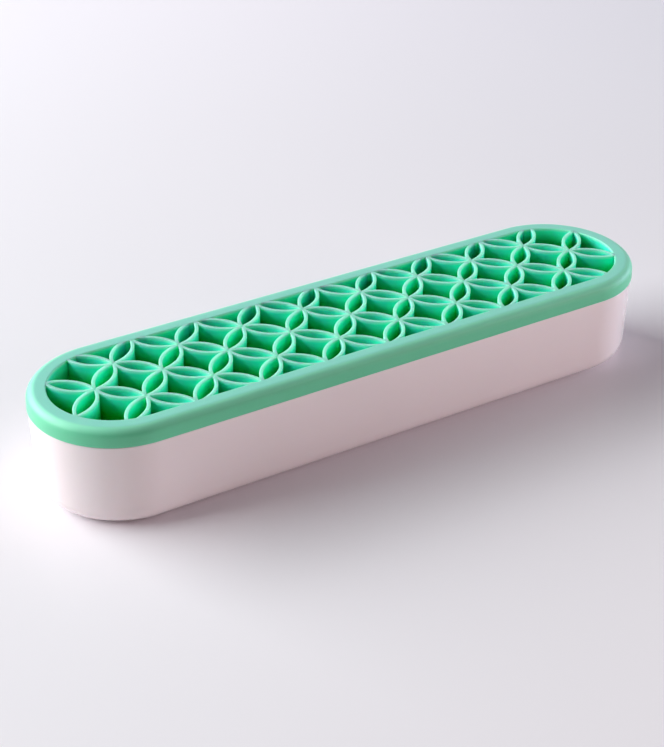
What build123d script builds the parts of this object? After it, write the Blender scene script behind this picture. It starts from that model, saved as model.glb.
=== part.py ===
"""Tool tray: a long plastic tub with round ends, and a silicone insert of leaf-shaped cells.

Millimetres. +Z is up and +X runs along the tray. The origin is on the surface that the tray
stands on, under the tray's middle, and the front of the tray faces -Y.
"""

import os
from math import radians, sqrt, tan

from build123d import *

# Tub
TUB_REACH = 39.65  # half width just under the rim, and the radius of each round end
TUB_WALL = 2.6
TUB_FLOOR = 2.6
TUB_DEPTH = 41.5  # from the underside up to the shoulder that carries the rim
TUB_DRAFT = 1.5  # degrees that each wall leans out towards the top
TUB_FOOT_RADIUS = 9.1  # outer rounding between wall and underside
LIP_WALL = 1.3  # the tub's wall above the shoulder, inside the rim's groove
LIP_HEIGHT = 5.0
GROOVE_CLEARANCE = 0.3  # beside and above the lip

# Rim of the silicone insert
RIM_OVERHANG = 0.55  # the rim's lower edge beyond the tub's side
RIM_LEAN = 0.35  # how far the rim's side leans in towards its top
RIM_WIDTH = 8.75  # across the rim's top, to the opening that holds the lattice
RIM_HEIGHT = 8.8
RIM_TOP_RADIUS = 4.5  # rounding of the rim's upper outer edge
RIM_FOOT_BEVEL = 0.5  # at the rim's lower outer edge
SKIRT_WALL = 1.8  # wall that hangs from the rim round the lattice

# Leaf lattice: each square of a grid has one leaf along a diagonal, tip to tip with its neighbours
LEAF_COLUMNS = 18  # squares along the tray
LEAF_ROWS = 4  # squares across it
LEAF_SAG = 4.0  # how far a leaf wall bows out from the line between its tips
LEAF_WALL = 1.55
LATTICE_DEPTH = 34.0
SIDE_TIP_DEPTH = 1.5  # from the skirt's face to the leaf tips that it holds, at the sides
END_TIP_DEPTH = 0.61  # the same at the round ends

# Feet
FOOT_RADIUS = 6.0
FOOT_HEIGHT = 1.8
FOOT_SEAT_DEPTH = 0.8
FOOT_SEAT_CLEARANCE = 0.2  # round the foot, in its seat
FOOT_INSET = 15.0  # from the centre of a round end, towards the tray's middle
FOOT_EDGE_DISTANCE = 4.5  # from a foot's rim to the rounding of the tub's underside

# Levels, reaches and the lattice's grid, worked out from the sizes above
UNDERSIDE = FOOT_HEIGHT - FOOT_SEAT_DEPTH
SHOULDER = UNDERSIDE + TUB_DEPTH
TOP = SHOULDER + RIM_HEIGHT
LIP_TOP = SHOULDER + LIP_HEIGHT
LATTICE_FOOT = TOP - LATTICE_DEPTH
TUB_INSIDE = TUB_REACH - TUB_WALL
LIP_REACH = TUB_INSIDE + LIP_WALL
RIM_FOOT_REACH = TUB_REACH + RIM_OVERHANG
RIM_TOP_REACH = RIM_FOOT_REACH - RIM_LEAN
OPENING_REACH = RIM_TOP_REACH - RIM_WIDTH
GRID = 2 * (OPENING_REACH + SIDE_TIP_DEPTH) / LEAF_ROWS
END_TIP_REACH = OPENING_REACH + END_TIP_DEPTH
END_CENTRE = LEAF_COLUMNS / 2 * GRID - sqrt(END_TIP_REACH**2 - GRID**2)
UNDERSIDE_REACH = TUB_REACH - TUB_DEPTH * tan(radians(TUB_DRAFT))
FOOT_X = END_CENTRE - FOOT_INSET
FOOT_Y = UNDERSIDE_REACH - TUB_FOOT_RADIUS - FOOT_EDGE_DISTANCE - FOOT_RADIUS


def reach_at(height, reach_at_shoulder):
    """Reach of a drafted tub face at a height, from its reach at the shoulder."""
    return reach_at_shoulder - (SHOULDER - height) * tan(radians(TUB_DRAFT))


def section(*points):
    """Closed section, its points given as (reach out from the centre line, height)."""
    return make_face(Plane.XZ * Polyline(*points, close=True))


def corner(face, reach, height):
    """The section's corner nearest to a point."""
    return face.vertices().sort_by_distance((reach, 0, height))[0]


def racetrack(face):
    """Carry a section round the tray's outline: two straight sides and two half turns."""
    side_section = Rot(0, 0, -90) * face
    side = extrude(side_section, amount=END_CENTRE, both=True)
    end = Pos(END_CENTRE, 0, 0) * revolve(side_section, Axis.Z, 180)
    return side + mirror(side, Plane.XZ) + end + mirror(end, Plane.YZ)


def leaf(tip_a, tip_b, offset):
    """Leaf outline between two crossings, its two arcs moved out by an offset."""
    chord = (tip_b - tip_a).length
    radius = (chord**2 / 4 + LEAF_SAG**2) / (2 * LEAF_SAG)
    to_arc_centre = radius - LEAF_SAG
    half_length = sqrt((radius + offset) ** 2 - to_arc_centre**2)
    middle = (tip_a + tip_b) / 2
    along = (tip_b - tip_a).normalized() * half_length
    start, end, sag = middle - along, middle + along, LEAF_SAG + offset
    return make_face(SagittaArc(start, end, sag) + SagittaArc(end, start, sag))


def leaf_tips():
    """Both tips of each leaf. The four corner squares of the grid lie outside the opening."""
    last_column, last_row = LEAF_COLUMNS // 2, LEAF_ROWS // 2
    tips = []
    for column in range(-last_column, last_column):
        for row in range(-last_row, last_row):
            if column in (-last_column, last_column - 1) and row in (-last_row, last_row - 1):
                continue
            rises = (column + row + last_column + last_row) % 2
            start = Vector(column, row if rises else row + 1)
            end = Vector(column + 1, row + 1 if rises else row)
            tips.append((start * GRID, end * GRID))
    return tips


def lattice_plan():
    """Plan of the leaf walls, cut off inside the skirt."""
    tips = leaf_tips()
    leaves = Sketch() + [leaf(a, b, LEAF_WALL / 2) for a, b in tips]
    leaves -= [leaf(a, b, -LEAF_WALL / 2) for a, b in tips]
    reach = OPENING_REACH + SKIRT_WALL / 2
    return leaves & SlotCenterToCenter(2 * END_CENTRE, 2 * reach)


def silicone_insert():
    """Rim, skirt and lattice in one soft moulding."""
    groove_outside = LIP_REACH + GROOVE_CLEARANCE
    groove_inside = TUB_INSIDE - GROOVE_CLEARANCE
    groove_roof = LIP_TOP + GROOVE_CLEARANCE
    skirt_outside = OPENING_REACH + SKIRT_WALL
    rim = section(
        (OPENING_REACH, TOP),
        (RIM_TOP_REACH, TOP),
        (RIM_FOOT_REACH, SHOULDER),
        (groove_outside, SHOULDER),
        (groove_outside, groove_roof),
        (groove_inside, groove_roof),
        (groove_inside, SHOULDER),
        (skirt_outside, SHOULDER),
        (skirt_outside, LATTICE_FOOT),
        (OPENING_REACH, LATTICE_FOOT),
    )
    rim = fillet(corner(rim, RIM_TOP_REACH, TOP), RIM_TOP_RADIUS)
    rim = chamfer(corner(rim, RIM_FOOT_REACH, SHOULDER), RIM_FOOT_BEVEL)
    lattice = extrude(Pos(0, 0, LATTICE_FOOT) * lattice_plan(), amount=LATTICE_DEPTH)
    return racetrack(rim) + lattice


def tray_base():
    """Tub with a drafted wall, a stepped lip and four seats for the feet.

    The inner corner round the floor is bevelled, touching the circle that runs parallel to the
    outer rounding, so that the wall keeps its thickness there.
    """
    inner_floor = UNDERSIDE + TUB_FLOOR
    tub = section(
        (0, UNDERSIDE),
        (reach_at(UNDERSIDE, TUB_REACH), UNDERSIDE),
        (TUB_REACH, SHOULDER),
        (LIP_REACH, SHOULDER),
        (LIP_REACH, LIP_TOP),
        (TUB_INSIDE, LIP_TOP),
        (TUB_INSIDE, SHOULDER),
        (reach_at(inner_floor, TUB_INSIDE), inner_floor),
        (0, inner_floor),
    )
    tub = fillet(corner(tub, reach_at(UNDERSIDE, TUB_REACH), UNDERSIDE), TUB_FOOT_RADIUS)
    inner_radius = TUB_FOOT_RADIUS - TUB_WALL
    inner_bevel = (2 - sqrt(2)) * inner_radius
    tub = chamfer(corner(tub, reach_at(inner_floor, TUB_INSIDE), inner_floor), inner_bevel)
    seat_radius = FOOT_RADIUS + FOOT_SEAT_CLEARANCE
    seat = Cylinder(seat_radius, FOOT_SEAT_DEPTH, align=(Align.CENTER, Align.CENTER, Align.MIN))
    return racetrack(tub) - [Pos(x, y, UNDERSIDE) * seat for x, y in foot_places().values()]


def foot():
    """Round non-slip pad."""
    return Cylinder(FOOT_RADIUS, FOOT_HEIGHT, align=(Align.CENTER, Align.CENTER, Align.MIN))


def foot_places():
    """Name and plan position of each foot."""
    return {
        "foot_front_left": (-FOOT_X, -FOOT_Y),
        "foot_front_right": (FOOT_X, -FOOT_Y),
        "foot_back_left": (-FOOT_X, FOOT_Y),
        "foot_back_right": (FOOT_X, FOOT_Y),
    }


def main():
    pieces = {"tray_base": tray_base(), "silicone_insert": silicone_insert()}
    for name, (x, y) in foot_places().items():
        pieces[name] = Pos(x, y, 0) * foot()
    os.makedirs("parts", exist_ok=True)
    for name, piece in pieces.items():
        piece.label = name
        export_step(piece, f"parts/{name}.step")


main()
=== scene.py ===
"""Tool tray: a gloss plastic tub with round ends and a mint silicone insert of leaf-shaped cells.

Lengths are metres, in the frame of the packed model: +Z is up, +X runs along the tray, the tray's
front faces -Y, and the tray stands at height 0.
"""

from math import atan2, cos, pi, radians, sin, sqrt, tan

import bmesh
import bpy
from mathutils import Matrix, Vector


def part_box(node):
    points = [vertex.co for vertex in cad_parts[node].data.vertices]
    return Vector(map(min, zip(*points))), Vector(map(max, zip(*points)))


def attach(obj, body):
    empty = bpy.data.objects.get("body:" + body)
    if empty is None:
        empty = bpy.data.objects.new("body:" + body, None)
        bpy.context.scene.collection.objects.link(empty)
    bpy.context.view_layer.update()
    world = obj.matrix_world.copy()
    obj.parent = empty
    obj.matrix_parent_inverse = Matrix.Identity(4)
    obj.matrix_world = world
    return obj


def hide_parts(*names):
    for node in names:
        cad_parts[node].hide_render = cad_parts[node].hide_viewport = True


bl_info = {
    "name": "Tool Tray",
    "version": (1, 0, 0),
    "blender": (4, 5, 0),
    "location": "3D View > Sidebar > Tool Tray",
    "description": "Models a long desk tray with a push-on silicone insert that holds tools upright",
    "category": "Add Mesh",
}

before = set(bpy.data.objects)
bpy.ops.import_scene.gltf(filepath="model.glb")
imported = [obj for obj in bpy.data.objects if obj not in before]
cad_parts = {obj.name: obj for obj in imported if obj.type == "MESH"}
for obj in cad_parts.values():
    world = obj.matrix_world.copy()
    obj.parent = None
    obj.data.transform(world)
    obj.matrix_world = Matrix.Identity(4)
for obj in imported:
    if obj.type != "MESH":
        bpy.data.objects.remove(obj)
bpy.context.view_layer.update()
TUB_LOW, TUB_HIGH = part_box("tray_base")
INSERT_LOW, INSERT_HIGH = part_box("silicone_insert")
FEET = [name for name in sorted(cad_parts) if name.startswith("foot_")]

MM = 0.001
HAIR = 0.02 * MM  # keeps the lattice's flat faces out of the planes of the rim's
DOUBLE = 0.1 * HAIR  # points closer together than this are merged
ON_PLANE = 0.01 * HAIR  # points closer than this to a cutting plane lie on it

END_STEPS = 72  # steps of each half turn round the tray's ends
PAD_STEPS = 64  # steps round a foot
LEAF_STEPS = 24  # steps of half a leaf wall
LEAF_SWEEP = radians(42)  # carries half a leaf wall past its tip, where it is cut off
TIP_CUT_TURN = radians(15)  # from one cut round the ends to the next
TIP_CUTS = 11  # cuts round each end
SMOOTH_ANGLE = 35  # degrees between faces, below which an edge is shaded smooth
TABLE_SIZE = 12.0
SENSOR_WIDTH = 36.0  # millimetres, which the camera's lens is stated for
NEAREST_VIEW = 10 * MM  # nothing nearer to the camera is drawn

NOISE_RANGE = (0.3, 0.7)  # holds nearly all values of a noise
UNSEEN_DROP = 10 * MM  # from the silicone's lowest colour level down to plain mint
UNSEEN_BLEND = 6 * MM  # height over which that colour gives way to plain mint


def length(name, description, default):
    """A size that a user may change, in metres."""
    return bpy.props.FloatProperty(
        name=name, description=description, default=default, min=0.0,
        precision=5, subtype="DISTANCE", unit="LENGTH",
    )


def count(name, description, default):
    """A number that a user may change."""
    return bpy.props.IntProperty(name=name, description=description, default=default, min=2)


def turn(name, description, default):
    """An angle that a user may change, given here in degrees."""
    return bpy.props.FloatProperty(
        name=name, description=description, default=radians(default),
        subtype="ANGLE", unit="ROTATION",
    )


def colour(name, description, default):
    """A linear colour that a user may change."""
    return bpy.props.FloatVectorProperty(
        name=name, description=description, default=default, size=3,
        min=0.0, max=1.0, subtype="COLOR",
    )


class TubSizes(bpy.types.PropertyGroup):
    """Sizes of the plastic tub and of its feet."""

    end_centre: length(
        "End Centre", "From the tray's middle to the centre of each round end", TUB_HIGH.x - TUB_HIGH.y
    )
    reach: length("Half Width", "Half width of the tub just under the rim", TUB_HIGH.y)
    underside: length("Underside", "Height of the tub's underside", TUB_LOW.z)
    lip_top: length("Lip Top", "Height of the top of the tub's lip", TUB_HIGH.z)
    lip_height: length("Lip Height", "Height of the lip above the shoulder that carries the rim", 5 * MM)
    lip_wall: length("Lip Wall", "Thickness of the lip", 1.3 * MM)
    wall: length("Wall", "Thickness of the wall and the floor", 2.6 * MM)
    draft: turn("Draft", "How far each wall leans out towards the top", 1.5)
    foot_rounding: length("Foot Rounding", "Outer rounding between wall and underside", 9.1 * MM)
    edge_rounding: length("Edge Rounding", "Rounding of the lip and of the shoulder", 0.3 * MM)
    pad_rounding: length("Pad Rounding", "Rounding of each foot's lower edge", 0.35 * MM)


class InsertSizes(bpy.types.PropertyGroup):
    """Sizes of the silicone insert."""

    top: length("Top", "Height of the insert's top", INSERT_HIGH.z)
    foot: length("Foot", "Height of the lattice's lower edge", INSERT_LOW.z)
    rim_height: length("Rim Height", "Height of the rim's side", 8.8 * MM)
    rim_foot_reach: length("Rim Foot Reach", "Half width at the rim's lower edge", 40.2 * MM)
    rim_lean: length("Rim Lean", "How far the rim's side leans in towards its top", 0.35 * MM)
    rim_width: length("Rim Width", "Across the rim's top", 8.75 * MM)
    rim_rounding: length("Rim Rounding", "Rounding of the rim's upper outer edge", 4.5 * MM)
    rim_foot_rounding: length("Rim Foot Rounding", "Rounding of the rim's lower outer edge", 0.9 * MM)
    mouth_rounding: length("Mouth Rounding", "Rounding of the rim's inner edge", 0.6 * MM)
    skirt_wall: length("Skirt Wall", "Wall that hangs from the rim round the lattice", 1.8 * MM)
    groove_gap: length("Groove Gap", "Clearance between the groove and the tub's lip", 0.3 * MM)
    grid: length("Grid", "Side of each square that one leaf crosses", 16.3 * MM)
    columns: count("Columns", "Squares of the grid along the tray, an even number", 18)
    rows: count("Rows", "Squares of the grid across the tray, an even number", 4)
    leaf_sag: length("Leaf Sag", "How far a leaf wall bows out from the line between its tips", 4.0 * MM)
    leaf_wall: length("Leaf Wall", "Thickness of a leaf wall", 1.55 * MM)
    leaf_rounding: length("Leaf Rounding", "Rounding of a leaf wall's upper edges", 0.25 * MM)
    dimple_depth: length("Dimple Depth", "Depth of the small sink mark where four leaves meet", 0.4 * MM)
    dimple_reach: length("Dimple Reach", "How far the sink mark reaches out along the walls", 1.7 * MM)
    tip_reach: length("Tip Reach", "How far the leaf tips reach, inside the skirt", 32.0 * MM)


class TrayFinish(bpy.types.PropertyGroup):
    """Colours of the tray and of what it stands on; some silicone colours are painted light and shade."""

    mint: colour("Rim Silicone", "Mint green of the thick rim", (0.14, 0.60, 0.35))
    # Painted light: the paler colour on the rim's upper rounding stands in for light from above the
    # front, not for rubbing.
    shoulder: colour("Rim Shoulder", "Rubbed rounding of the rim", (0.30, 0.845, 0.59))
    # Partly painted light: the thin walls' own mint, lifted above the rim's colour to stand in for light
    # inside the cells.
    leaf: colour("Leaf Silicone", "Brighter mint green of the thin leaf walls", (0.05, 0.88, 0.60))
    # Painted shade: the darker green low on the leaf walls stands in for the shade deep in the cells.
    depth: colour("Cell Depths", "Deeper green of the leaf walls far below their tops", (0.0, 0.58, 0.06))
    # Painted light: the rim's paler top stands in for the cool light and sheen falling on it, not for
    # handling.
    rim_top_painted_light: colour("Rim Top", "Paler mint of the rim's handled top", (0.265, 0.735, 0.60))
    # Painted highlight: the pale band at the tops of the leaf walls stands in for light catching them.
    leaf_top_painted_highlight: colour("Leaf Tops", "Paler mint of the tops of the leaf walls", (0.32, 0.755, 0.59))
    dust: colour("Dust", "Fine dust on the silicone", (0.62, 0.86, 0.76))
    tub: colour("Tub", "Warm white of the plastic", (0.86, 0.75, 0.762))
    pad: colour("Feet", "Pale grey of the feet", (0.55, 0.56, 0.57))
    floor: colour("Floor", "Pale surface under the tray", (0.915, 0.862, 0.905))


def watts(name, description, default):
    """The power of a light."""
    return bpy.props.FloatProperty(name=name, description=description, default=default, min=0.0)


class StudioLight(bpy.types.PropertyGroup):
    """A wide window on the left, a warm panel in front, a low cool fill on the right, a dark room."""

    window_azimuth: turn("Window Azimuth", "Where the window stands, turned from +X towards +Y", 141)
    window_elevation: turn("Window Elevation", "Window's middle above the horizon", 27)
    window_distance: length("Window Distance", "From the window to the tray", 2.3)
    window_width: length("Window Width", "Width of the window", 2.6)
    window_height: length("Window Height", "Height of the window", 1.3)
    window_power: watts("Window Power", "Power of the window's light in watts", 111)
    window_colour: colour("Window Colour", "Daylight", (0.94, 1.0, 1.0))
    panel_azimuth: turn("Panel Azimuth", "Where the panel stands, turned from +X towards +Y", 309)
    panel_elevation: turn("Panel Elevation", "Panel's middle above the horizon", 18)
    panel_distance: length("Panel Distance", "From the panel to the tray", 1.2)
    panel_width: length("Panel Width", "Width of the panel", 0.7)
    panel_height: length("Panel Height", "Height of the panel", 0.7)
    panel_power: watts("Panel Power", "Power of the panel's light in watts", 5.5)
    panel_colour: colour("Panel Colour", "Warm light", (1.0, 0.79, 0.75))
    fill_azimuth: turn("Fill Azimuth", "Where the cool fill stands, turned from +X towards +Y", 350)
    fill_elevation: turn("Fill Elevation", "Fill's middle above the horizon", 8)
    fill_distance: length("Fill Distance", "From the fill to the tray", 1.6)
    fill_width: length("Fill Width", "Width of the fill", 1.0)
    fill_height: length("Fill Height", "Height of the fill", 0.4)
    fill_power: watts("Fill Power", "Power of the fill's light in watts", 15)
    fill_colour: colour("Fill Colour", "Cool light", (0.64, 0.83, 1.0))
    ceiling_height: length("Ceiling Height", "Height of the ceiling light behind the tray", 1.2)
    ceiling_back: length("Ceiling Back", "How far behind the tray's middle the ceiling light hangs", 0.9)
    ceiling_right: length("Ceiling Right", "How far to the right of the tray's middle it hangs", 0.45)
    ceiling_size: length("Ceiling Size", "Side of the square ceiling light", 0.9)
    ceiling_spread: turn("Ceiling Spread", "How widely the ceiling light shines", 70)
    ceiling_power: watts("Ceiling Power", "Power of the ceiling light in watts", 1.0)
    ceiling_colour: colour("Ceiling Colour", "Bluish light", (0.9, 0.82, 0.96))
    room: colour("Room", "Faint light from all sides", (0.018, 0.016, 0.014))


class ViewSizes(bpy.types.PropertyGroup):
    """Where the photograph was taken from."""

    azimuth: turn("Azimuth", "Direction of view, 0 along +Y", -32.111)
    elevation: turn("Elevation", "Camera above the horizon", 30.146)
    roll: turn("Roll", "Camera turned about its own axis", 0.225)
    distance: length("Distance", "From the camera to the plane of the tray's middle", 769.4 * MM)
    left: length("Left", "Camera moved to its left of the tray's middle", 8.66 * MM)
    down: length("Down", "Camera moved down from the tray's middle", 27.8 * MM)
    lens: bpy.props.FloatProperty(
        name="Lens", description="Focal length in millimetres for a 36 mm sensor", default=79.45, min=1.0
    )


def deselect():
    """Leave edit mode and deselect every object."""
    if bpy.context.object and bpy.context.object.mode != "OBJECT":
        bpy.ops.object.mode_set(mode="OBJECT")
    bpy.ops.object.select_all(action="DESELECT")


def take(piece):
    """Select one piece alone and make it active."""
    deselect()
    piece.select_set(True)
    bpy.context.view_layer.objects.active = piece


def edit(piece):
    """Open one piece in edit mode with all of it selected."""
    take(piece)
    bpy.ops.object.mode_set(mode="EDIT")
    bpy.ops.mesh.select_mode(type="VERT")
    bpy.ops.mesh.select_all(action="SELECT")


def choose(kind, test):
    """Select the vertices, edges or faces of the edited mesh that pass a test, and nothing else."""
    bpy.ops.mesh.select_mode(type=kind)
    bpy.ops.mesh.select_all(action="DESELECT")
    mesh = bmesh.from_edit_mesh(bpy.context.object.data)
    for part in {"VERT": mesh.verts, "EDGE": mesh.edges, "FACE": mesh.faces}[kind]:
        part.select_set(test(part))
    mesh.select_flush_mode()
    bmesh.update_edit_mesh(bpy.context.object.data)


def draw_section(name, corners, closed):
    """A section's outline: a plane is merged to a point, and the outline is extruded from it."""
    deselect()
    bpy.ops.mesh.primitive_plane_add(size=MM, location=(0, 0, 0))
    piece = bpy.context.object
    piece.name = piece.data.name = name
    edit(piece)
    bpy.ops.mesh.merge(type="CENTER")
    bpy.ops.transform.translate(value=corners[0])
    for here, there in zip(corners, corners[1:]):
        bpy.ops.mesh.extrude_vertices_move(TRANSFORM_OT_translate={"value": there - here})
    if closed:
        choose("VERT", lambda v: min((v.co - corners[0]).length, (v.co - corners[-1]).length) < HAIR)
        bpy.ops.mesh.edge_face_add()
    return piece


def round_corner(corner, radius, steps):
    """Round one corner of the section that is being edited."""
    mesh = bmesh.from_edit_mesh(bpy.context.object.data)
    vertex = min(mesh.verts, key=lambda v: (v.co - corner).length)
    one, other = (edge.other_vert(vertex).co - vertex.co for edge in vertex.link_edges)
    setback = radius / tan(one.angle(other) / 2)
    choose("VERT", lambda v: (v.co - corner).length < HAIR)
    bpy.ops.mesh.bevel(
        affect="VERTICES", offset_type="OFFSET", offset=setback, segments=steps,
        profile=0.5, clamp_overlap=False,
    )


def carry_round(end_centre):
    """Carry the edited section round the tray: along one side, half a turn, back, half a turn."""
    bpy.ops.mesh.select_mode(type="EDGE")
    bpy.ops.mesh.select_all(action="SELECT")
    for side in (1, -1):
        bpy.ops.mesh.extrude_region_move(TRANSFORM_OT_translate={"value": (side * 2 * end_centre, 0, 0)})
        bpy.ops.mesh.spin(
            steps=END_STEPS, angle=-pi, center=(side * end_centre, 0, 0), axis=(0, 0, 1)
        )
    close_surface()


def close_surface():
    """Merge doubles and turn all faces outwards."""
    bpy.ops.mesh.select_all(action="SELECT")
    bpy.ops.mesh.remove_doubles(threshold=DOUBLE)
    bpy.ops.mesh.normals_make_consistent(inside=False)


def smooth(piece, angle=SMOOTH_ANGLE):
    """Smooth shading, with flat faces kept flat beside small roundings."""
    take(piece)
    bpy.ops.object.shade_smooth_by_angle(angle=radians(angle), keep_sharp_edges=True)
    even = piece.modifiers.new("Even Normals", "WEIGHTED_NORMAL")
    even.keep_sharp = True
    bpy.ops.object.modifier_apply(modifier=even.name)


def finish_piece(piece, material, body, nodes):
    """Give a piece its material in a material slot and its body, and hide the nodes it stands for."""
    piece.data.materials.clear()
    piece.data.materials.append(material)
    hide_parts(*nodes)
    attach(piece, body)


class Nodes:
    """Builds a material's nodes from left to right."""

    def __init__(self, name):
        self.material = bpy.data.materials.get(name) or bpy.data.materials.new(name)
        self.material.use_nodes = True
        self.tree = self.material.node_tree
        self.tree.nodes.clear()
        self.shader = self.add("ShaderNodeBsdfPrincipled")
        output = self.add("ShaderNodeOutputMaterial")
        self.link(self.shader.outputs["BSDF"], output.inputs["Surface"])
        self.place = self.add("ShaderNodeTexCoord").outputs["Object"]

    def add(self, kind, **settings):
        """A node with some of its settings changed."""
        node = self.tree.nodes.new(kind)
        for key, value in settings.items():
            setattr(node, key, value)
        return node

    def link(self, source, target):
        """Join an output to an input."""
        self.tree.links.new(source, target)

    def noise(self, scale, detail=2.0, roughness=0.5):
        """Noise on the piece's own coordinates, its scale in waves to the metre."""
        node = self.add("ShaderNodeTexNoise")
        self.link(self.place, node.inputs["Vector"])
        node.inputs["Scale"].default_value = scale
        node.inputs["Detail"].default_value = detail
        node.inputs["Roughness"].default_value = roughness
        return node.outputs["Fac"]

    def spread(self, value, low, high, to_low=0.0, to_high=1.0):
        """Carry the values from low to high over to another range, and hold those beyond at its ends."""
        node = self.add("ShaderNodeMapRange", clamp=True)
        self.link(value, node.inputs["Value"])
        ends = {"From Min": low, "From Max": high, "To Min": to_low, "To Max": to_high}
        for key, number in ends.items():
            node.inputs[key].default_value = number
        return node.outputs["Result"]

    def blend(self, amount, one, other):
        """Blend from one colour to another, each fixed or from a node."""
        node = self.add("ShaderNodeMix", data_type="RGBA")
        self.link(amount, node.inputs["Factor"])
        for key, value in (("A", one), ("B", other)):
            socket = next(s for s in node.inputs if s.name == key and s.type == "RGBA")
            if isinstance(value, bpy.types.NodeSocket):
                self.link(value, socket)
            else:
                socket.default_value = (*value, 1.0)
        return next(s for s in node.outputs if s.type == "RGBA")

    def bump(self, height, strength, distance, under=None):
        """Unevenness too fine to model, on top of another if one is given."""
        node = self.add("ShaderNodeBump")
        self.link(height, node.inputs["Height"])
        node.inputs["Strength"].default_value = strength
        node.inputs["Distance"].default_value = distance
        if under is not None:
            self.link(under, node.inputs["Normal"])
        return node.outputs["Normal"]

    def set(self, **values):
        """Set sockets of the shader, their names written with underscores."""
        for key, value in values.items():
            self.shader.inputs[key.replace("_", " ")].default_value = value


def scaled(value, factor):
    """A colour made lighter or darker."""
    return tuple(min(1.0, part * factor) for part in value)


def silicone_material(finish, name, colours, levels, glow, glow_reach, sheen, gloss):
    """Satin silicone that light glows through, with painted light on its top and painted shade low in the
    cells.

    The three colours are those of the depth, the body and the top. The levels are four heights: from
    the first to the second the depth's colour gives way to the body's, and from the third to the
    fourth the body's to the top's. The top's colour is a painted highlight. On the leaves the depth's
    colour is painted shade deep in the cells; on the rim the body's colour is painted light on the
    rounding. Far below the first, where only a lifted insert shows, the silicone is plain mint.
    """
    n = Nodes(name)
    depth, body, top = colours
    place = n.add("ShaderNodeSeparateXYZ")
    n.link(n.place, place.inputs["Vector"])
    height = place.outputs["Z"]
    cloud = n.spread(n.noise(scale=45, detail=3), *NOISE_RANGE)
    base = n.blend(cloud, scaled(body, 0.97), scaled(body, 1.03))
    # Painted shade: low down the colour darkens to the depth's colour.
    base = n.blend(n.spread(height, *levels[:2]), depth, base)
    # Far below, the painted shade gives way again to plain mint.
    unseen = n.spread(height, levels[0] - UNSEEN_DROP, levels[0] - UNSEEN_DROP + UNSEEN_BLEND)
    base = n.blend(unseen, finish.mint, base)
    # Painted light: towards the top the colour pales to the top's colour.
    base = n.blend(n.spread(height, *levels[2:]), base, top)
    speck = n.spread(n.noise(scale=2600, roughness=0.6), 0.70, 0.78, to_high=0.35)
    n.link(n.blend(speck, base, finish.dust), n.shader.inputs["Base Color"])
    satin = n.spread(n.noise(scale=900, detail=3), *NOISE_RANGE, 0.42, 0.52)
    n.link(satin, n.shader.inputs["Roughness"])
    skin = n.bump(n.noise(scale=5200), strength=0.10, distance=0.08 * MM)
    waves = n.bump(n.noise(scale=160), strength=0.10, distance=0.6 * MM, under=skin)
    n.link(waves, n.shader.inputs["Normal"])
    n.set(IOR=1.41, Specular_IOR_Level=gloss, Sheen_Weight=sheen, Sheen_Roughness=0.5)
    n.set(Subsurface_Weight=glow, Subsurface_Scale=glow_reach, Subsurface_Radius=(0.5, 1.0, 0.7))
    return n.material


def tub_material(finish):
    """Gloss moulded plastic with a slow ripple and faint rub marks."""
    n = Nodes("Tub Plastic")
    cloud = n.spread(n.noise(scale=18), *NOISE_RANGE)
    white = n.blend(cloud, scaled(finish.tub, 0.985), scaled(finish.tub, 1.01))
    n.link(white, n.shader.inputs["Base Color"])
    rubs = n.spread(n.noise(scale=70, detail=4, roughness=0.6), 0.3, 0.75, 0.13, 0.24)
    n.link(rubs, n.shader.inputs["Roughness"])
    ripple = n.bump(n.noise(scale=38, detail=1), strength=0.06, distance=1 * MM)
    grain = n.bump(n.noise(scale=2400), strength=0.02, distance=0.1 * MM, under=ripple)
    n.link(grain, n.shader.inputs["Normal"])
    n.set(IOR=1.49, Specular_IOR_Level=0.5, Subsurface_Weight=0.05, Subsurface_Scale=2 * MM)
    n.set(Coat_Weight=0.15, Coat_Roughness=0.08)
    return n.material


def pad_material(finish):
    """Matt rubber of the feet."""
    n = Nodes("Foot Rubber")
    grain = n.noise(scale=1800, detail=3)
    grey = n.blend(n.spread(grain, *NOISE_RANGE), scaled(finish.pad, 0.9), scaled(finish.pad, 1.06))
    n.link(grey, n.shader.inputs["Base Color"])
    n.link(n.spread(grain, *NOISE_RANGE, 0.55, 0.7), n.shader.inputs["Roughness"])
    n.link(n.bump(grain, strength=0.15, distance=0.2 * MM), n.shader.inputs["Normal"])
    return n.material


def floor_material(finish):
    """Smooth pale table top."""
    n = Nodes("Pale Table")
    cloud = n.spread(n.noise(scale=1.4), *NOISE_RANGE)
    pale = n.blend(cloud, scaled(finish.floor, 0.985), finish.floor)
    n.link(pale, n.shader.inputs["Base Color"])
    n.link(n.spread(n.noise(scale=300), *NOISE_RANGE, 0.38, 0.46), n.shader.inputs["Roughness"])
    n.set(Specular_IOR_Level=0.3)
    return n.material


def mouth_reach(sizes):
    """Half width of the opening that holds the lattice."""
    return sizes.rim_foot_reach - sizes.rim_lean - sizes.rim_width


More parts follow.
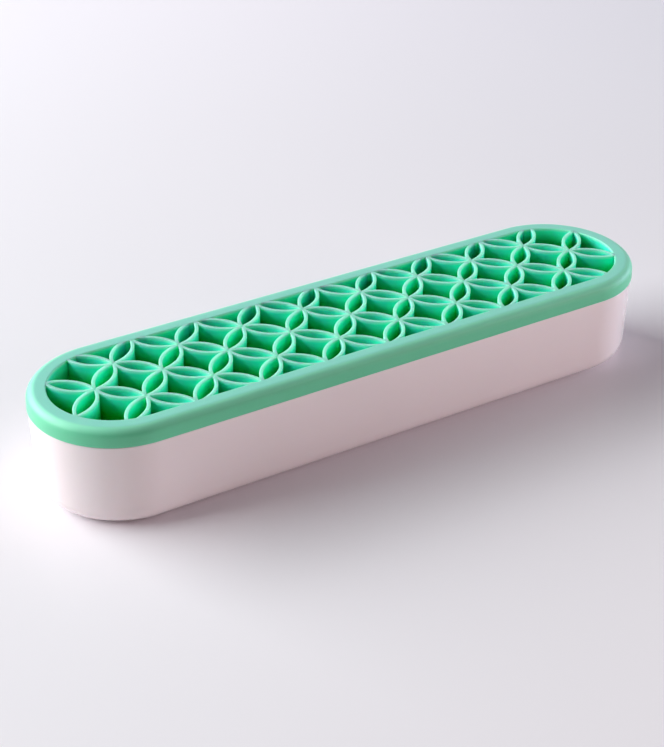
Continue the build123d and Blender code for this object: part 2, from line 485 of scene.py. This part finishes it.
def rim_and_skirt(sizes, end_centre):
    """Rim with its groove, and the skirt that hangs from it, as one ring round the tray."""
    shoulder = sizes.top - sizes.rim_height
    tub = bpy.context.scene.tray_tub
    lip_outside = tub.reach - tub.wall + tub.lip_wall + sizes.groove_gap
    lip_inside = tub.reach - tub.wall - sizes.groove_gap
    roof = tub.lip_top + sizes.groove_gap
    mouth = mouth_reach(sizes)
    skirt = mouth + sizes.skirt_wall
    outline = [
        (mouth, sizes.top),
        (sizes.rim_foot_reach - sizes.rim_lean, sizes.top),
        (sizes.rim_foot_reach, shoulder),
        (lip_outside, shoulder),
        (lip_outside, roof),
        (lip_inside, roof),
        (lip_inside, shoulder),
        (skirt, shoulder),
        (skirt, sizes.foot),
        (mouth, sizes.foot),
    ]
    corners = [Vector((-end_centre, -reach, height)) for reach, height in outline]
    piece = draw_section("Silicone_Rim", corners, closed=True)
    round_corner(corners[0], sizes.mouth_rounding, steps=5)
    round_corner(corners[1], sizes.rim_rounding, steps=12)
    round_corner(corners[2], sizes.rim_foot_rounding, steps=4)
    carry_round(end_centre)
    smooth(piece)
    return piece


def colour_mouth(piece, material, sizes, end_centre):
    """Give the skirt's inner side, below the mouth's rounding, the brighter silicone of the leaves, with
    its painted shade low down.
    """
    take(piece)
    bpy.ops.object.material_slot_add()
    piece.material_slots[piece.active_material_index].material = material
    bpy.ops.object.mode_set(mode="EDIT")

    def inner(face):
        middle = face.calc_center_median()
        past_end = max(abs(middle.x) - end_centre, 0)
        at_mouth = Vector((past_end, middle.y)).length < mouth_reach(sizes) + HAIR
        return at_mouth and middle.z < sizes.top - sizes.mouth_rounding

    choose("FACE", inner)
    bpy.ops.object.material_slot_assign()
    bpy.ops.object.mode_set(mode="OBJECT")


def half_leaf(sizes, free):
    """Half of one leaf, from its middle to its tip along +X. A free tip meets no other leaf."""
    half_chord = sizes.grid / sqrt(2)
    radius = (half_chord**2 + sizes.leaf_sag**2) / (2 * sizes.leaf_sag)
    arc_centre = (0, sizes.leaf_sag - radius, 0)
    near, far = sizes.leaf_sag - sizes.leaf_wall / 2, sizes.leaf_sag + sizes.leaf_wall / 2
    top, foot = sizes.top - HAIR, sizes.foot + HAIR
    corners = [Vector((0, y, z)) for y, z in ((near, foot), (far, foot), (far, top), (near, top))]
    piece = draw_section("Free_Half_Leaf" if free else "Half_Leaf", corners, closed=True)
    round_corner(corners[2], sizes.leaf_rounding, steps=2)
    round_corner(corners[3], sizes.leaf_rounding, steps=2)
    bpy.ops.mesh.select_all(action="SELECT")
    bpy.ops.mesh.spin(steps=LEAF_STEPS, angle=LEAF_SWEEP, center=arc_centre, axis=(0, 0, 1))
    cuts = [((0, 0, 0), (0, -1, 0))]
    if not free:
        cuts.append(((half_chord, 0, 0), (1, 1, 0)))
    for place, normal in cuts:
        bpy.ops.mesh.select_all(action="SELECT")
        bpy.ops.mesh.bisect(plane_co=place, plane_no=normal, clear_outer=True, threshold=ON_PLANE)
    if not free:
        tip = Vector((half_chord, 0, top))
        choose("VERT", lambda v: (v.co - tip).length < HAIR)
        bpy.ops.transform.translate(
            value=(0, 0, -sizes.dimple_depth), use_proportional_edit=True,
            proportional_edit_falloff="SMOOTH", proportional_size=sizes.dimple_reach,
        )
    bpy.ops.object.mode_set(mode="OBJECT")
    mirror = piece.modifiers.new("Other Wall", "MIRROR")
    mirror.use_axis = (False, True, False)
    mirror.merge_threshold = DOUBLE
    bpy.ops.object.modifier_apply(modifier=mirror.name)
    return piece


def leaf_tips(columns, rows):
    """Grid points at both tips of each leaf. The four corner squares lie outside the opening."""
    last_column, last_row = columns // 2, rows // 2
    tips = []
    for column in range(-last_column, last_column):
        for row in range(-last_row, last_row):
            if column in (-last_column, last_column - 1) and row in (-last_row, last_row - 1):
                continue
            rises = (column + row + last_column + last_row) % 2
            tips.append(((column, row + (not rises)), (column + 1, row + rises)))
    return tips


def leaf_lattice(sizes, end_centre):
    """All the leaves, two copies of half a leaf each, joined tip to tip and cut off inside the skirt."""
    tips = leaf_tips(sizes.columns, sizes.rows)
    meeting = [tip for pair in tips for tip in pair]
    halves = {False: half_leaf(sizes, False), True: half_leaf(sizes, True)}
    copies = []
    for pair in tips:
        start, end = (Vector(tip) * sizes.grid for tip in pair)
        middle = ((start + end) / 2).to_3d()
        for tip, along in zip(pair, (start - end, end - start)):
            take(halves[meeting.count(tip) == 1])
            bpy.ops.object.duplicate(linked=False)
            copy = bpy.context.object
            copy.location = middle
            copy.rotation_euler = (0, 0, atan2(along.y, along.x))
            copies.append(copy)
    deselect()
    for half in halves.values():
        half.select_set(True)
    bpy.ops.object.delete()
    for copy in copies:
        copy.select_set(True)
    bpy.context.view_layer.objects.active = copies[0]
    bpy.ops.object.transform_apply(location=True, rotation=True, scale=True)
    bpy.ops.object.join()
    piece = bpy.context.object
    piece.name = piece.data.name = "Leaf_Lattice"
    edit(piece)
    close_surface()
    for place, normal in tip_cuts(sizes, end_centre):
        bpy.ops.mesh.select_all(action="SELECT")
        bpy.ops.mesh.bisect(
            plane_co=place, plane_no=normal, use_fill=True, clear_outer=True, threshold=ON_PLANE
        )
    close_surface()
    smooth(piece, angle=40)
    return piece


def tip_cuts(sizes, end_centre):
    """Planes that end the leaf tips inside the skirt: one along each side, and some round each end."""
    cuts = [((0, side * sizes.tip_reach, 0), (0, side, 0)) for side in (-1, 1)]
    for end in (-1, 1):
        for step in range(TIP_CUTS):
            angle = (step - TIP_CUTS // 2) * TIP_CUT_TURN
            normal = Vector((end * cos(angle), sin(angle), 0))
            cuts.append((Vector((end * end_centre, 0, 0)) + normal * sizes.tip_reach, normal))
    return cuts


class TRAY_OT_insert(bpy.types.Operator):
    """Model the silicone insert: rim, skirt and leaf lattice"""

    bl_idname = "tray.insert"
    bl_label = "Silicone Insert"

    def execute(self, context):
        sizes = context.scene.tray_insert
        end_centre = context.scene.tray_tub.end_centre
        finish = context.scene.tray_finish
        rim = rim_and_skirt(sizes, end_centre)
        lattice = leaf_lattice(sizes, end_centre)

        def below_top(*drops):
            return [sizes.top - drop * MM for drop in drops]

        # The rim's shoulder colour is painted light on its rounding, and its top colour is painted light
        # on its top.
        rim_skin = silicone_material(
            finish, "Rim Silicone", (finish.mint, finish.shoulder, finish.rim_top_painted_light),
            below_top(2.6, 0.5, 0.3, 0), glow=0.4, glow_reach=2 * MM, sheen=0.15, gloss=0.55,
        )
        # The leaves' depth colour is painted shade in the cells, and their top colour is a painted
        # highlight.
        leaf_skin = silicone_material(
            finish, "Leaf Silicone", (finish.depth, finish.leaf, finish.leaf_top_painted_highlight),
            below_top(10, 3.5, 1.8, 0.2), glow=1.0, glow_reach=5 * MM, sheen=0.0, gloss=0.2,
        )
        for piece, material in ((rim, rim_skin), (lattice, leaf_skin)):
            finish_piece(piece, material, "insert", ["silicone_insert"])
        colour_mouth(rim, leaf_skin, sizes, end_centre)
        return {"FINISHED"}


class TRAY_OT_tub(bpy.types.Operator):
    """Model the plastic tub with its lip, drafted wall and rounded foot"""

    bl_idname = "tray.tub"
    bl_label = "Plastic Tub"

    def execute(self, context):
        sizes = context.scene.tray_tub
        shoulder = sizes.lip_top - sizes.lip_height
        inside = sizes.reach - sizes.wall
        lip = inside + sizes.lip_wall
        floor = sizes.underside + sizes.wall

        def leaning(reach, height):
            return reach - (shoulder - height) * tan(sizes.draft)

        outline = [
            (0, sizes.underside),
            (leaning(sizes.reach, sizes.underside), sizes.underside),
            (sizes.reach, shoulder),
            (lip, shoulder),
            (lip, sizes.lip_top),
            (inside, sizes.lip_top),
            (inside, shoulder),
            (leaning(inside, floor), floor),
            (0, floor),
        ]
        corners = [Vector((-sizes.end_centre, -reach, height)) for reach, height in outline]
        piece = draw_section("Plastic_Tub", corners, closed=False)
        _, outer_foot, shoulder_edge, _, lip_outer_edge, lip_inner_edge, _, inner_foot, _ = corners
        round_corner(outer_foot, sizes.foot_rounding, steps=14)
        round_corner(inner_foot, sizes.foot_rounding - sizes.wall, steps=10)
        for edge in (shoulder_edge, lip_outer_edge, lip_inner_edge):
            round_corner(edge, sizes.edge_rounding, steps=3)
        carry_round(sizes.end_centre)
        smooth(piece)
        finish_piece(piece, tub_material(context.scene.tray_finish), "tub", ["tray_base"])
        return {"FINISHED"}


class TRAY_OT_feet(bpy.types.Operator):
    """Model the four non-slip feet"""

    bl_idname = "tray.feet"
    bl_label = "Feet"

    def execute(self, context):
        sizes = context.scene.tray_tub
        material = pad_material(context.scene.tray_finish)
        for node in FEET:
            low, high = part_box(node)
            centre, size = (low + high) / 2, high - low
            deselect()
            bpy.ops.mesh.primitive_cylinder_add(
                vertices=PAD_STEPS, radius=size.x / 2, depth=size.z, end_fill_type="NGON", location=centre
            )
            piece = bpy.context.object
            piece.name = piece.data.name = "_".join(part.title() for part in node.split("_"))
            bpy.ops.object.transform_apply(location=True, rotation=True, scale=True)
            edit(piece)
            choose("EDGE", lambda e: all(v.co.z < low.z + HAIR for v in e.verts))
            bpy.ops.mesh.bevel(offset=sizes.pad_rounding, segments=4, profile=0.5, affect="EDGES")
            smooth(piece)
            finish_piece(piece, material, "tub", [node])
        return {"FINISHED"}


class TRAY_OT_stage(bpy.types.Operator):
    """Lay the pale table, and set the soft light and the camera"""

    bl_idname = "tray.stage"
    bl_label = "Table, Light and Camera"

    def execute(self, context):
        deselect()
        bpy.ops.mesh.primitive_plane_add(size=TABLE_SIZE, location=(0, 0, 0))
        table = context.object
        table.name = table.data.name = "Table"
        table.data.materials.append(floor_material(context.scene.tray_finish))
        self.light(context)
        self.camera(context)
        return {"FINISHED"}

    def light(self, context):
        """The lights, the room's faint glow and the plain view transform."""
        studio = context.scene.tray_light
        context.scene.view_settings.view_transform = "Standard"
        world = context.scene.world or bpy.data.worlds.new("Studio")
        context.scene.world = world
        world.use_nodes = True
        background = next(n for n in world.node_tree.nodes if n.type == "BACKGROUND")
        background.inputs["Color"].default_value = (*studio.room, 1.0)
        background.inputs["Strength"].default_value = 1.0
        for name, kind in (("Window", "window"), ("Warm_Panel", "panel"), ("Cool_Fill", "fill")):
            self.flat_light(name, studio, kind)
        place = (studio.ceiling_right, studio.ceiling_back, studio.ceiling_height)
        bpy.ops.object.light_add(type="AREA", location=place)
        ceiling = context.object
        ceiling.name = "Ceiling"
        ceiling.data.size = studio.ceiling_size
        ceiling.data.spread = studio.ceiling_spread
        ceiling.data.energy, ceiling.data.color = studio.ceiling_power, studio.ceiling_colour

    def flat_light(self, name, studio, kind):
        """A flat light that faces the tray."""
        azimuth, elevation, distance, width, height, power, tint = (
            getattr(studio, f"{kind}_{part}")
            for part in ("azimuth", "elevation", "distance", "width", "height", "power", "colour")
        )
        side = Vector((cos(azimuth) * cos(elevation), sin(azimuth) * cos(elevation), sin(elevation)))
        turned = side.to_track_quat("Z", "Y").to_euler()
        bpy.ops.object.light_add(type="AREA", location=side * distance, rotation=turned)
        light = bpy.context.object
        light.name = name
        light.data.shape = "RECTANGLE"
        light.data.size, light.data.size_y = width, height
        light.data.energy, light.data.color = power, tint

    def camera(self, context):
        """The camera that took the photograph."""
        view = context.scene.tray_view
        a, e, r = view.azimuth, view.elevation, view.roll
        back = Vector((sin(a) * cos(e), -cos(a) * cos(e), sin(e)))
        right = Vector((cos(a), sin(a), 0))
        up = Vector((-sin(a) * sin(e), cos(a) * sin(e), cos(e)))
        right, up = right * cos(r) + up * sin(r), up * cos(r) - right * sin(r)
        middle = Vector((0, 0, context.scene.tray_insert.top))
        place = middle + back * view.distance - right * view.left - up * view.down
        turned = Matrix((right, up, back)).transposed().to_euler()
        bpy.ops.object.camera_add(location=place, rotation=turned)
        camera = context.object
        camera.name = "Camera"
        camera.data.lens = view.lens
        camera.data.sensor_width = SENSOR_WIDTH
        camera.data.clip_start = NEAREST_VIEW
        context.scene.camera = camera


class TRAY_PT_sidebar(bpy.types.Panel):
    """Sizes, colours and the steps that model the tray"""

    bl_idname = "TRAY_PT_sidebar"
    bl_label = "Tool Tray"
    bl_space_type = "VIEW_3D"
    bl_region_type = "UI"
    bl_category = "Tool Tray"

    def draw(self, context):
        layout = self.layout
        for step in STEPS:
            layout.operator(step.bl_idname)
        for group in GROUPS:
            box = layout.box()
            values = getattr(context.scene, GROUPS[group])
            box.label(text=group.__doc__)
            for key in group.__annotations__:
                box.prop(values, key)


GROUPS = {
    TubSizes: "tray_tub",
    InsertSizes: "tray_insert",
    TrayFinish: "tray_finish",
    StudioLight: "tray_light",
    ViewSizes: "tray_view",
}
STEPS = (TRAY_OT_tub, TRAY_OT_feet, TRAY_OT_insert, TRAY_OT_stage)


def register():
    for group, name in GROUPS.items():
        bpy.utils.register_class(group)
        setattr(bpy.types.Scene, name, bpy.props.PointerProperty(type=group))
    for part in (*STEPS, TRAY_PT_sidebar):
        bpy.utils.register_class(part)


def unregister():
    for part in reversed((*STEPS, TRAY_PT_sidebar)):
        bpy.utils.unregister_class(part)
    for group, name in reversed(GROUPS.items()):
        delattr(bpy.types.Scene, name)
        bpy.utils.unregister_class(group)


def main():
    register()
    bpy.ops.tray.tub()
    bpy.ops.tray.feet()
    bpy.ops.tray.insert()
    bpy.ops.tray.stage()


if __name__ == "__main__":
    main()
